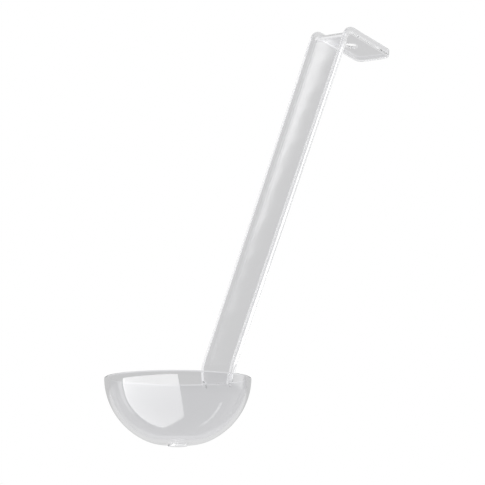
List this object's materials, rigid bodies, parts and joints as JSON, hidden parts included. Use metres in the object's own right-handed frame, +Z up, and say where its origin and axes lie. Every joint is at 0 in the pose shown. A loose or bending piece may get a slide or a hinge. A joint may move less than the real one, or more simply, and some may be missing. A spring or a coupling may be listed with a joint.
{
  "type": "serving ladle",
  "caption": "Clear moulded plastic serving ladle: a round bowl, a long backward-leaning channel handle, and a flanged hook at its top with a hanging hole.",
  "frame": {"origin": "middle of the underside of the gate boss, the ladle's lowest point", "axes": "+Z up along the bowl's axis; +Y from the bowl towards the handle and the hook; +X across the handle"},
  "size_m": [0.088, 0.2619, 0.2842],
  "materials": {
    "clear_plastic": "clear, polished, no texture"
  },
  "bodies": {
    "root": {"bowl": "clear_plastic", "gate_boss": "clear_plastic", "neck_web": "clear_plastic", "neck_flange_left": "clear_plastic", "neck_flange_right": "clear_plastic", "handle_web": "clear_plastic", "handle_flange_left": "clear_plastic", "handle_flange_right": "clear_plastic", "bend_web": "clear_plastic", "bend_flange_left": "clear_plastic", "bend_flange_right": "clear_plastic", "hook_plate": "clear_plastic", "hook_flange_left": "clear_plastic", "hook_flange_right": "clear_plastic", "hook_flange_end": "clear_plastic"}
  },
  "joints": []
}
